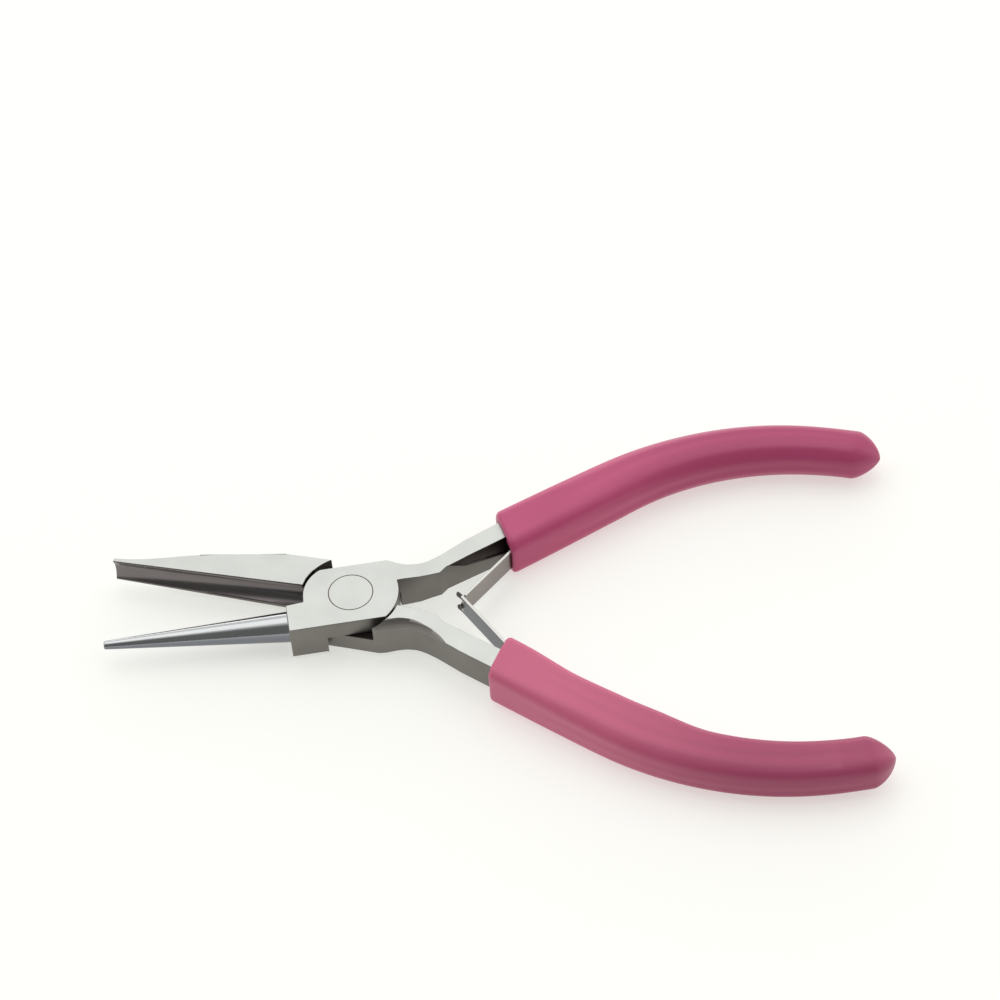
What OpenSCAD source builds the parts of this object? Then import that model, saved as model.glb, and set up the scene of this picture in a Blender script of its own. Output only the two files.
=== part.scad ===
// Wire-looping pliers: one round tapered jaw closes into one hollow jaw, on a riveted lap joint.
// Lengths in millimetres. Origin: pivot axis, on the back face of the joint. X runs to the handle ends,
// Y across the handles, Z along the pivot.

/* [Joint] */
// Thickness of the finished lap joint
joint_t = 6.7; // [6.2:0.1:7.4]
// Radius of the round end of each lap plate
plate_r = 7.75; // [7.4:0.05:8]
// Gap between a plate's round edge and the pocket that it turns in
pocket_gap = 0.3; // [0.2:0.05:0.5]
// Gap between the two lap faces
lap_gap = 0.06; // [0.04:0.01:0.1]
// Radius of the rivet's shank
rivet_r = 2.6; // [2.2:0.1:3]
// Radius of each flush rivet head at the joint's face
rivet_head_r = 3.57; // [3.3:0.01:3.8]
// Angle from the middle line to each handle with the spring relaxed
half_open = 10.6; // [8:0.1:12]

/* [Jaws] */
// Distance from the pivot to the hollow jaw's tip
tip_x = 40; // [36:0.5:44]
// How much further the round jaw reaches
round_past = 0.4; // [0:0.1:0.6]
// Distance from the pivot to the shoulder that the round jaw grows from
shoulder_x = 10.6; // [10.2:0.1:11.5]
// Half-width of the jaw side of each lever, from the middle line to its outer edge
jaw_side = 6; // [5.6:0.1:6.4]
// Radius of the round jaw at its root
cone_root_r = 2.42; // [2.1:0.01:2.6]
// Radius of the round jaw at its tip
cone_tip_r = 0.8; // [0.5:0.01:1.2]
// Radius of the hollow in the other jaw at its root
hollow_root_r = 2.55; // [2.4:0.05:2.8]
// Radius of the hollow in the other jaw at its tip
hollow_tip_r = 1.8; // [1.7:0.05:1.85]
// How far the hollow's axis stands off from the jaw's rims at its root
hollow_root_off = 0.2; // [0:0.05:0.4]
// How far the hollow's axis stands off from the jaw's rims at its tip
hollow_tip_off = 0.8; // [0.6:0.05:0.9]
// Half-width of the hollow jaw just behind its tip
jaw_tip_half = 2.2; // [2.1:0.05:2.5]
// Length of the steeper nose at the hollow jaw's tip
nose_len = 3.6; // [3:0.1:5]

/* [Handles] */
// Thickness of the steel handle behind the joint
handle_t = 5.7; // [5.2:0.1:6.2]
// Angle of the straight stretch of the handle, with the pliers closed
handle_angle = 22.1; // [20:0.1:24]
// Length of the straight stretch from the grip's mouth
straight_len = 21.9; // [18:0.1:26]
// Radius of the bowed stretch
bow_r = 51; // [45:1:60]
// Angle that the bowed stretch turns through
bow_angle = 51; // [45:0.5:54]
// Length of bowed stretch that the steel stops short of the grip's end
steel_short = 7; // [5:0.5:12]

/* [Grips] */
// Half-width of a grip across the handle, at its mouth
grip_half_w = 4.3; // [4.2:0.05:4.6]
// Half-thickness of a grip along the pivot axis, at its mouth
grip_half_t = 3.85; // [3.8:0.05:4.2]
// Corner radius of a grip's section
grip_corner_r = 2.6; // [2.4:0.1:2.8]
// Size of a grip's section near its end, as a share of its mouth
grip_end_scale = 0.86; // [0.84:0.01:0.95]
// Gap between the steel and the inside of the grip
grip_fit = 0.1; // [0.05:0.01:0.15]

/* [Leaf springs] */
// Thickness of a leaf spring
leaf_t = 0.5; // [0.4:0.05:0.6]
// Width of a leaf spring
leaf_w = 4; // [3.6:0.1:4.2]
// Distance of the bend in a leaf from the grip's mouth
leaf_bend_s = 3.8; // [3.4:0.1:4.2]
// Distance from the bend to where the two leaves cross
leaf_reach = 16.8; // [16.4:0.1:17]
// Angle between a relaxed leaf and the handle's straight stretch
leaf_angle = 19.6; // [19:0.1:21]
// Width of the tongue on the upper leaf
tongue_w = 2; // [1.6:0.1:2.2]
// Length of tongue and fork past the crossing
leaf_past = 1.4; // [1.2:0.1:1.8]

/* [Hidden] */
$fn = 96;

half_t = joint_t / 2;
pocket_r = plate_r + pocket_gap;
nose_r = 6.1;                    // a plate's rounded corner on its handle's side
nose_centre = [-1.6, 0.16];
head_depth = 1.1;                // depth of a rivet head's cone
lever_fit = 0.01;                // gap between the rivet and the lever that it is peened to
running_fit = 0.03;              // gap between the rivet and the lever that turns on it

// The grip's middle line: straight from the mouth, then bowed.
mouth = [26, 8.09];
along = [cos(handle_angle), sin(handle_angle)];
across = [-sin(handle_angle), cos(handle_angle)];
bow_start = mouth + straight_len * along;
bow_centre = bow_start - bow_r * across;
bow_len = bow_r * bow_angle * PI / 180;
function turned(s) = handle_angle - max(0, s - straight_len) / bow_r * 180 / PI;
function spine(s) = s <= straight_len ? mouth + s * along
    : bow_centre + bow_r * [-sin(turned(s)), cos(turned(s))];
function beside(s, n) = spine(s) + n * [-sin(turned(s)), cos(turned(s))];
function blend(a, b, t) = a + (b - a) * min(1, max(0, t));

// Steel inside the grip: half-widths to the outer and inner side of the middle line.
steel_end = straight_len + bow_len - steel_short;
function steel_out(s) = blend(2.3, 1.7, s / steel_end);
function steel_in(s) = blend(1.5, 1.7, s / steel_end);
steel_end_t = 4.6;
steel_steps = 20;

// Leaf spring places in the lever's own frame.
leaf_n = -steel_in(leaf_bend_s) - 0.04 - leaf_t / 2;
leaf_bend = beside(leaf_bend_s, leaf_n);
leaf_root_end = 13;
leaf_rivet_s = 8.8;
leaf_rivet_r = 0.9;
leaf_rivet_depth = 2;
shoulder_back = 0.9;             // distance of the shoulders and the slot's root from the crossing
slot_w = tongue_w + 0.4;

// Outer edge of each lever from its plate to its grip; the lower lever is a little fuller.
upper_neck = [[0, 5.6], [6.4, 5.6], [7.1, 5.3], [8.5, 4.5], [10.1, 4.05], [12.3, 4.15],
    [15.4, 5.45], [19.7, 7.75]];
lower_neck = [[0, 6.2], [5.7, 6.3], [7, 5.95], [8.7, 5.2], [10.4, 4.8], [12.3, 4.95],
    [15.4, 6.1], [19.7, 8.1]];

// Everything is drawn about the joint's middle plane, with the pliers closed, then placed here.
module on_upper() { translate([0, 0, half_t]) rotate(half_open) children(); }
module on_lower() { translate([0, 0, half_t]) rotate(-half_open) rotate([180, 0, 0]) children(); }

// Outline of the neck and handle.
module handle_outline(neck) {
    polygon(concat(
        neck,
        [for (i = [0 : steel_steps]) let (s = steel_end * i / steel_steps) beside(s, steel_out(s))],
        [for (i = [steel_steps : -1 : 0]) let (s = steel_end * i / steel_steps) beside(s, -steel_in(s))],
        [[20.2, 4.35], [15.9, 2.75], [14.7, 1.7], [11.2, 1.2], [0, 1]]));
}

// The room that the steel takes inside the grip.
module steel_room() {
    intersection() {
        linear_extrude(joint_t * 2, center = true)
            polygon(concat(
                [for (i = [0 : steel_steps]) let (s = blend(-3, steel_end + grip_fit, i / steel_steps))
                    beside(s, steel_out(s) + grip_fit)],
                [for (i = [steel_steps : -1 : 0]) let (s = blend(-3, steel_end + grip_fit, i / steel_steps))
                    beside(s, -steel_in(s) - grip_fit)]));
        thickness_profile(grip_fit);
    }
}

// Side view of a lever: thick at the joint, thinner behind it and thinner again at the handle's end.
module thickness_profile(fit = 0) {
    neck = [[-tip_x - 5, half_t], [8.8, half_t], [15, handle_t / 2 + fit],
        [bow_start[0], handle_t / 2 + fit], [90, steel_end_t / 2 + fit]];
    rotate([90, 0, 0]) linear_extrude(120, center = true)
        polygon(concat(neck, [for (i = [len(neck) - 1 : -1 : 0]) [neck[i][0], -neck[i][1]]]));
}

// The round plate of the lap, with straight edges on the jaw's side and the handle's side.
module plate_outline(top) {
    difference() {
        intersection() {
            circle(plate_r);
            translate([-plate_r, -jaw_side]) square([2 * plate_r, jaw_side + top]);
        }
        difference() {
            translate(nose_centre + [-nose_r - 1, 0]) square([nose_r + 1, nose_r + 1]);
            translate(nose_centre) circle(nose_r);
        }
    }
}

// Plate, neck and handle, the same forging for both levers.
module lever_blank(neck) {
    translate([0, 0, lap_gap / 2]) linear_extrude(half_t - lap_gap / 2) plate_outline(neck[0][1]);
    intersection() {
        linear_extrude(joint_t, center = true) handle_outline(neck);
        thickness_profile();
    }
}

// Pocket for the other lever's plate: round about the pivot, a little closer on the jaw's side.
module pocket() {
    jaw_wall_off = 0.56;
    translate([0, 0, lap_gap / 2 - joint_t]) linear_extrude(joint_t) {
        intersection() {
            circle(pocket_r);
            translate([-0.5, -20]) square(40);
        }
        intersection() {
            translate([0, jaw_wall_off]) circle(pocket_r);
            translate([-40, -20]) square(40);
        }
    }
}

// Scooped groove along the neck's valley, on the side away from the plate.
module scoop() {
    valley_centre = [11, 12, -5.3];
    translate(valley_centre) rotate_extrude() translate([5.6, 0]) circle(3.3);
}

// What is taken out of a lever: the other plate's pocket, the scoop and the rivet's hole.
module lever_cuts(fit) {
    pocket();
    scoop();
    rivet_shape(fit);
}

// The rivet with both flush heads, grown by "fit".
module rivet_shape(fit = 0) {
    over = fit > 0 ? 1 : 0;
    cylinder(h = joint_t + 2 * over, r = rivet_r + fit, center = true);
    for (side = [0, 1]) mirror([0, 0, side])
        translate([0, 0, half_t - head_depth])
            cylinder(h = head_depth + 0.001 * over, r1 = rivet_r + fit, r2 = rivet_head_r + fit);
}

// Blind hole for the leaf's own rivet, square to the handle's inner side.
module at_leaf_rivet() {
    foot = beside(leaf_rivet_s, 0);
    translate([foot[0], foot[1], 0]) rotate(handle_angle) rotate([90, 0, 0]) children();
}
module leaf_rivet_hole() {
    at_leaf_rivet() cylinder(h = leaf_rivet_depth * 2, r = leaf_rivet_r + lever_fit, center = true, $fn = 48);
}

module round_jaw_lever() {
    root_y = -cone_root_r;
    tip_y = -cone_tip_r;
    reach = tip_x + round_past - shoulder_x;
    tilt = atan((tip_y - root_y) / reach);
    color("silver") on_upper() difference() {
        union() {
            lever_blank(upper_neck);
            linear_extrude(joint_t, center = true)
                polygon([[-shoulder_x, -jaw_side], [-shoulder_x, -0.75], [-7.6, -0.5],
                    [0, -0.5], [0, -jaw_side]]);
            translate([-shoulder_x + 0.3, root_y, 0]) rotate([0, -90, -tilt]) rotate_extrude()
                polygon([[0, 0], [cone_root_r, 0], [cone_tip_r, reach - 0.2], [cone_tip_r * 0.8, reach + 0.15],
                    [cone_tip_r * 0.4, reach + 0.3], [0, reach + 0.3]]);
        }
        lever_cuts(lever_fit);
        leaf_rivet_hole();
    }
}

module hollow_jaw_lever() {
    crown_tip_r = jaw_tip_half;
    crown_root_r = 5.14;
    crown_root_y = -1.5;
    crown_x = 13.5;
    reach = tip_x - crown_x;
    tilt = atan(crown_root_y / reach);
    grow = (crown_root_r - crown_tip_r) / reach;
    nose_tip_r = 1.96;
    nose_off = 0.5;
    nose_grow = 0.25;
    hollow_len = tip_x - 5;
    color("gainsboro") on_lower() difference() {
        union() {
            lever_blank(lower_neck);
            intersection() {
                linear_extrude(joint_t, center = true)
                    polygon([[-tip_x, 0], [-tip_x, -3], [-crown_x, -jaw_side - 0.5], [-12.4, -jaw_side],
                        [-3.6, -jaw_side], [0, -3], [0, 0]]);
                rotate([90, 0, 0]) linear_extrude(20, center = true)
                    polygon([[-tip_x, jaw_tip_half], [-9, half_t], [1, half_t],
                        [1, -half_t], [-9, -half_t], [-tip_x, -jaw_tip_half]]);
                translate([-tip_x - 1, 0, 0]) rotate([0, 90, tilt])
                    cylinder(h = tip_x + 2, r1 = crown_tip_r - grow, r2 = crown_tip_r + grow * (tip_x + 1));
                translate([-tip_x - 1, nose_off, 0]) rotate([0, 90, -atan(nose_off / nose_len)])
                    cylinder(h = tip_x + 2, r1 = nose_tip_r - nose_grow,
                        r2 = nose_tip_r + nose_grow * (tip_x + 1));
            }
        }
        translate([-tip_x - 1, hollow_tip_off, 0])
            rotate([0, 90, -atan((hollow_tip_off - hollow_root_off) / hollow_len)])
                cylinder(h = hollow_len, r1 = hollow_tip_r, r2 = hollow_root_r);
        lever_cuts(running_fit);
        leaf_rivet_hole();
    }
}

module pivot_rivet() {
    color("silver") translate([0, 0, half_t]) rivet_shape();
}

// One ring of the grip's section: a rounded rectangle, standing across the middle line at s.
ring_corner_points = 5;
function ring_angle(i) = 90 * floor(i / ring_corner_points)
    + 90 * (i % ring_corner_points) / (ring_corner_points - 1);
function section(i) = let (a = ring_angle(i), q = floor(i / ring_corner_points)) [
    (q == 0 || q == 3 ? 1 : -1) * (grip_half_w - grip_corner_r) + grip_corner_r * cos(a),
    (q < 2 ? 1 : -1) * (grip_half_t - grip_corner_r) + grip_corner_r * sin(a)];
grip_len = straight_len + bow_len;
tip_round = 6;                   // length of the rounded end
mouth_tilt = 0.2;                // slant of the mouth, in length per width
grip_rings = [for (s = [0 : 4 : grip_len - tip_round]) s,
    for (a = [10 : 12 : 82]) grip_len - tip_round + tip_round * sin(a)];
function ring_scale(s) = blend(1, grip_end_scale, (s - 20) / 40)
    * sqrt(max(0.02, 1 - pow(max(0, s - grip_len + tip_round) / tip_round, 2)));
function ring_point(s, i) = let (
    p = section(i) * ring_scale(s),
    slant = mouth_tilt * p[0] * max(0, 1 - s / 16),
    q = beside(s + slant, p[0])) [q[0], q[1], p[1]];

module grip() {
    sides = 4 * ring_corner_points;
    rings = len(grip_rings);
    difference() {
        polyhedron(
            points = [for (s = grip_rings) for (i = [0 : sides - 1]) ring_point(s, i)],
            faces = concat(
                [[for (i = [0 : sides - 1]) i]],
                [for (k = [0 : rings - 2]) for (i = [0 : sides - 1]) let (j = (i + 1) % sides)
                    [k * sides + i, (k + 1) * sides + i, (k + 1) * sides + j, k * sides + j]],
                [[for (i = [sides - 1 : -1 : 0]) (rings - 1) * sides + i]]),
            convexity = 6);
        steel_room();
        leaf_room();
    }
}

// The room for the leaf's root, its rivet's head and the blade's way out of the mouth.
module leaf_room() {
    out_s = -3;
    head_n = leaf_n - 1.05;
    blade_n = leaf_n - leaf_t / 2 - 0.15;
    linear_extrude(leaf_w + 0.3, center = true)
        polygon([beside(out_s, 0), beside(out_s, blade_n - (leaf_bend_s - out_s) * tan(leaf_angle)),
            beside(leaf_bend_s, blade_n), beside(leaf_bend_s + 2.7, head_n),
            beside(14, head_n), beside(14, 0)]);
}

module upper_grip() { color("palevioletred") on_upper() grip(); }
module lower_grip() { color("palevioletred") on_lower() grip(); }

// The leaf's root lies on the steel inside the grip.
module leaf_root() {
    difference() {
        linear_extrude(leaf_w, center = true)
            polygon([beside(leaf_bend_s + 0.3, leaf_n + leaf_t / 2), beside(leaf_root_end, leaf_n + leaf_t / 2),
                beside(leaf_root_end, leaf_n - leaf_t / 2), beside(leaf_bend_s + 0.3, leaf_n - leaf_t / 2)]);
        at_leaf_rivet() cylinder(h = 8, r = leaf_rivet_r + lever_fit, center = true, $fn = 48);
    }
}

// Draws in the blade's frame: X from the bend towards the crossing, Z across the leaf.
module along_blade() {
    translate([leaf_bend[0], leaf_bend[1], 0]) rotate(180 + handle_angle + leaf_angle) children();
}
module strip(x0, x1, w) {
    translate([x0, -leaf_t / 2, -w / 2]) cube([x1 - x0, leaf_t, w]);
}

module tongue_blade() {
    along_blade() {
        strip(0, leaf_reach - shoulder_back, leaf_w);
        strip(leaf_reach - shoulder_back - 0.5, leaf_reach + leaf_past - tongue_w / 2, tongue_w);
        translate([leaf_reach + leaf_past - tongue_w / 2, 0, 0]) rotate([90, 0, 0])
            cylinder(h = leaf_t, r = tongue_w / 2, center = true, $fn = 48);
    }
}

module fork_blade() {
    along_blade() difference() {
        strip(0, leaf_reach + leaf_past, leaf_w);
        translate([leaf_reach - shoulder_back, -2, -slot_w / 2]) cube([5, 4, slot_w]);
    }
}

module leaf_rivet() {
    head_n = -leaf_n + leaf_t / 2 + 0.03;
    at_leaf_rivet() {
        translate([0, 0, -leaf_rivet_depth + 0.2])
            cylinder(h = leaf_rivet_depth - 0.2 + head_n, r = leaf_rivet_r, $fn = 48);
        translate([0, 0, head_n]) cylinder(h = 0.5, r1 = 1.6, r2 = 1.3, $fn = 48);
    }
}

module upper_leaf_root() { color("darkgray") on_upper() leaf_root(); }
module upper_leaf_blade() { color("darkgray") on_upper() tongue_blade(); }
module upper_leaf_rivet() { color("dimgray") on_upper() leaf_rivet(); }
module lower_leaf_root() { color("slategray") on_lower() leaf_root(); }
module lower_leaf_blade() { color("slategray") on_lower() fork_blade(); }
module lower_leaf_rivet() { color("dimgray") on_lower() leaf_rivet(); }

round_jaw_lever();
hollow_jaw_lever();
pivot_rivet();
upper_grip();
lower_grip();
upper_leaf_root();
upper_leaf_blade();
upper_leaf_rivet();
lower_leaf_root();
lower_leaf_blade();
lower_leaf_rivet();
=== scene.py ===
import math

import bmesh
import bpy
from mathutils import Matrix, Vector


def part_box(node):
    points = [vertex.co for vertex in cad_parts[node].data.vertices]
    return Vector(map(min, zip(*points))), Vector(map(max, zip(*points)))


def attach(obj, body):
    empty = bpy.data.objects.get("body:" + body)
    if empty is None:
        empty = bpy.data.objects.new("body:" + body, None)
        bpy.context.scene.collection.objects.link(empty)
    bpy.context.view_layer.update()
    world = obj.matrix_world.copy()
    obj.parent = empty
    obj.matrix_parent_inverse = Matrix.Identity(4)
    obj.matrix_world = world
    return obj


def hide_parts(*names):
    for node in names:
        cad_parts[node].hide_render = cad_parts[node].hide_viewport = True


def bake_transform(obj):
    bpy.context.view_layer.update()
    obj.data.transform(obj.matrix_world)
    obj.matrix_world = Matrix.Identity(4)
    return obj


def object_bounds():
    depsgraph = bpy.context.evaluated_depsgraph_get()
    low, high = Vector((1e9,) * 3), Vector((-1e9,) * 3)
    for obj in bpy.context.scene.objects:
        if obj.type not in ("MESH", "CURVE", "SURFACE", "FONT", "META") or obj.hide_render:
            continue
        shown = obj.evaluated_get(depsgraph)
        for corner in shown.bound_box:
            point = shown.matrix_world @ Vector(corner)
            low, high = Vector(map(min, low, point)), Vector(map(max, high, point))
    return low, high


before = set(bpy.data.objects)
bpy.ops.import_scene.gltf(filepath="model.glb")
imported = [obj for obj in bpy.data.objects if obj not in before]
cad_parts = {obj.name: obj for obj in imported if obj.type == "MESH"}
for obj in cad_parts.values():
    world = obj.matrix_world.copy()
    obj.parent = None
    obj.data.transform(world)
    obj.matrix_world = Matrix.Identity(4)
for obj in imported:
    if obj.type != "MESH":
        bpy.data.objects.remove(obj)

mm = 0.001
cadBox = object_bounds()
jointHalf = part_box("pivot_rivet")[1][2] / 2 / mm      # middle plane of the lap joint
halfOpen = 10.6                                       # each handle's angle from the middle line
print("frame loaded, box", [round(v / mm, 2) for corner in cadBox for v in corner])


# Every lever half is drawn closed about the joint's middle plane, in mm, and then put in its place.
def placeUpper(p):
    return (Matrix.Rotation(math.radians(halfOpen), 3, "Z") @ Vector(p) + Vector((0, 0, jointHalf))) * mm


def placeLower(p):
    flipped = Vector((p[0], -p[1], -p[2]))
    return (Matrix.Rotation(math.radians(-halfOpen), 3, "Z") @ flipped + Vector((0, 0, jointHalf))) * mm


handle = {
    "mouth": (26, 8.09),        # where the grip starts, on the handle's middle line
    "angle": 22.1,              # of the straight stretch
    "straight": 21.9,
    "bowRadius": 51,
    "bowAngle": 51,
}
handle["length"] = handle["straight"] + handle["bowRadius"] * math.radians(handle["bowAngle"])


# Point beside the handle's middle line: s along it from the mouth, n across it to the outer side.
def beside(s, n):
    heading = math.radians(handle["angle"])
    alongX, alongY = math.cos(heading), math.sin(heading)
    straight = min(s, handle["straight"])
    x = handle["mouth"][0] + straight * alongX
    y = handle["mouth"][1] + straight * alongY
    if s > handle["straight"]:
        r = handle["bowRadius"]
        centreX, centreY = x + r * alongY, y - r * alongX
        heading -= (s - handle["straight"]) / r
        x, y = centreX - r * math.sin(heading), centreY + r * math.cos(heading)
    return Vector((x - n * math.sin(heading), y + n * math.cos(heading)))


def blendTo(a, b, t):
    return a + (b - a) * min(1, max(0, t))


def easeTo(a, b, t):
    t = min(1, max(0, t))
    return a + (b - a) * t * t * (3 - 2 * t)


def newGroup(name, inputs, outputs):
    group = bpy.data.node_groups.new(name, "ShaderNodeTree")
    for label, kind, value in inputs:
        socket = group.interface.new_socket(label, in_out="INPUT", socket_type=kind)
        socket.default_value = value
    for label, kind in outputs:
        group.interface.new_socket(label, in_out="OUTPUT", socket_type=kind)
    return group, group.nodes.new("NodeGroupInput"), group.nodes.new("NodeGroupOutput")


def addNode(tree, kind, **settings):
    node = tree.nodes.new(kind)
    for key, value in settings.items():
        setattr(node, key, value)
    return node


def mathNode(tree, operation, a, b=None, clamp=False):
    node = addNode(tree, "ShaderNodeMath", operation=operation, use_clamp=clamp)
    for slot, value in enumerate((a, b)):
        if value is None:
            continue
        if isinstance(value, (int, float)):
            node.inputs[slot].default_value = value
        else:
            tree.links.new(value, node.inputs[slot])
    return node.outputs[0]


def noiseAt(tree, vector, scale, detail=3.0, rough=0.5):
    node = addNode(tree, "ShaderNodeTexNoise")
    tree.links.new(vector, node.inputs["Vector"])
    node.inputs["Scale"].default_value = scale
    node.inputs["Detail"].default_value = detail
    node.inputs["Roughness"].default_value = rough
    return node.outputs[0]


# Lines left by the grinding belt along the lever, and slow clouding over them.
def makeGrindLines():
    group, ins, outs = newGroup("grindLines",
        [("Per mm", "NodeSocketFloat", 9.0), ("Stretch", "NodeSocketFloat", 0.06)],
        [("Lines", "NodeSocketFloat"), ("Clouds", "NodeSocketFloat")])
    place = addNode(group, "ShaderNodeTexCoord").outputs["Object"]
    perMetre = mathNode(group, "MULTIPLY", ins.outputs["Per mm"], 1000)
    lengthwise = mathNode(group, "MULTIPLY", perMetre, ins.outputs["Stretch"])
    size = addNode(group, "ShaderNodeCombineXYZ")
    group.links.new(lengthwise, size.inputs[0])
    group.links.new(perMetre, size.inputs[1])
    group.links.new(perMetre, size.inputs[2])
    scaled = addNode(group, "ShaderNodeVectorMath", operation="MULTIPLY")
    group.links.new(place, scaled.inputs[0])
    group.links.new(size.outputs[0], scaled.inputs[1])
    group.links.new(noiseAt(group, scaled.outputs[0], 1.0, 2.0), outs.inputs["Lines"])
    group.links.new(noiseAt(group, place, 160.0, 2.0), outs.inputs["Clouds"])
    return group


# Edges rubbed bright in use, broken up by noise; on the grips the lighter edges are also a painted
# highlight.
def makeEdgeWearAndSheen():
    group, ins, outs = newGroup("edgeWearAndSheen",
        [("Radius", "NodeSocketFloat", 0.0003), ("Strength", "NodeSocketFloat", 1.0)],
        [("Mask", "NodeSocketFloat")])
    rounded = addNode(group, "ShaderNodeBevel", samples=6)
    group.links.new(ins.outputs["Radius"], rounded.inputs["Radius"])
    normal = addNode(group, "ShaderNodeNewGeometry").outputs["Normal"]
    dot = addNode(group, "ShaderNodeVectorMath", operation="DOT_PRODUCT")
    group.links.new(rounded.outputs[0], dot.inputs[0])
    group.links.new(normal, dot.inputs[1])
    away = mathNode(group, "MULTIPLY", mathNode(group, "SUBTRACT", 1.0, dot.outputs["Value"]), 6.0, True)
    place = addNode(group, "ShaderNodeTexCoord").outputs["Object"]
    broken = mathNode(group, "ADD", noiseAt(group, place, 1400.0, 4.0), 0.35, True)
    patchy = mathNode(group, "MULTIPLY", away, broken)
    mask = mathNode(group, "MULTIPLY", patchy, ins.outputs["Strength"], True)
    group.links.new(mask, outs.inputs["Mask"])
    return group


# Small pits and dust on a surface that has been handled.
def makeFineSpeckle():
    group, ins, outs = newGroup("fineSpeckle",
        [("Per mm", "NodeSocketFloat", 4.0), ("Share", "NodeSocketFloat", 0.3)],
        [("Specks", "NodeSocketFloat"), ("Mottle", "NodeSocketFloat")])
    place = addNode(group, "ShaderNodeTexCoord").outputs["Object"]
    scaled = addNode(group, "ShaderNodeVectorMath", operation="SCALE")
    group.links.new(place, scaled.inputs[0])
    group.links.new(mathNode(group, "MULTIPLY", ins.outputs["Per mm"], 1000), scaled.inputs["Scale"])
    fine = noiseAt(group, scaled.outputs[0], 1.0, 3.0, 0.6)
    edge = mathNode(group, "SUBTRACT", 1.0, ins.outputs["Share"])
    specks = mathNode(group, "MULTIPLY", mathNode(group, "SUBTRACT", fine, edge), 5.0, True)
    group.links.new(specks, outs.inputs["Specks"])
    group.links.new(noiseAt(group, place, 90.0, 3.0), outs.inputs["Mottle"])
    return group


# How far a surface of the part faces up, and how far along the part it is.
def makeWhere():
    group, ins, outs = newGroup("whereOnPart",
        [("From up", "NodeSocketFloat", 0.2), ("To up", "NodeSocketFloat", 0.6),
            ("From along", "NodeSocketFloat", 0.03), ("To along", "NodeSocketFloat", 0.07)],
        [("Facing up", "NodeSocketFloat"), ("Along", "NodeSocketFloat")])
    place = addNode(group, "ShaderNodeTexCoord")
    for source, part, low, high, out in (("Normal", "Z", "From up", "To up", "Facing up"),
            ("Object", "X", "From along", "To along", "Along")):
        parts = addNode(group, "ShaderNodeSeparateXYZ")
        group.links.new(place.outputs[source], parts.inputs[0])
        level = addNode(group, "ShaderNodeMapRange", interpolation_type="SMOOTHSTEP")
        group.links.new(parts.outputs[part], level.inputs["Value"])
        group.links.new(ins.outputs[low], level.inputs["From Min"])
        group.links.new(ins.outputs[high], level.inputs["From Max"])
        group.links.new(level.outputs[0], outs.inputs[out])
    return group


grindLines = makeGrindLines()
edgeWearAndSheen = makeEdgeWearAndSheen()
fineSpeckle = makeFineSpeckle()
whereOnPart = makeWhere()
print("shader groups built")


def startMaterial(name):
    material = bpy.data.materials.new(name)
    material.use_nodes = True
    tree = material.node_tree
    return material, tree, tree.nodes["Principled BSDF"]


def useGroup(tree, group, **values):
    node = addNode(tree, "ShaderNodeGroup", node_tree=group)
    for key, value in values.items():
        node.inputs[key.replace("_", " ")].default_value = value
    return node


def mixColours(tree, factor, a, b):
    node = addNode(tree, "ShaderNodeMix", data_type="RGBA")
    tree.links.new(factor, node.inputs["Factor"])
    for slot, value in ((6, a), (7, b)):
        if isinstance(value, tuple):
            node.inputs[slot].default_value = (*value, 1)
        else:
            tree.links.new(value, node.inputs[slot])
    return node.outputs[2]


def ranged(tree, value, low, high):
    node = addNode(tree, "ShaderNodeMapRange")
    tree.links.new(value, node.inputs["Value"])
    node.inputs["To Min"].default_value = low
    node.inputs["To Max"].default_value = high
    return node.outputs[0]


def bumpFrom(tree, height, strength, distance):
    node = addNode(tree, "ShaderNodeBump")
    tree.links.new(height, node.inputs["Height"])
    node.inputs["Strength"].default_value = strength
    node.inputs["Distance"].default_value = distance
    return node.outputs[0]


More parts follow.
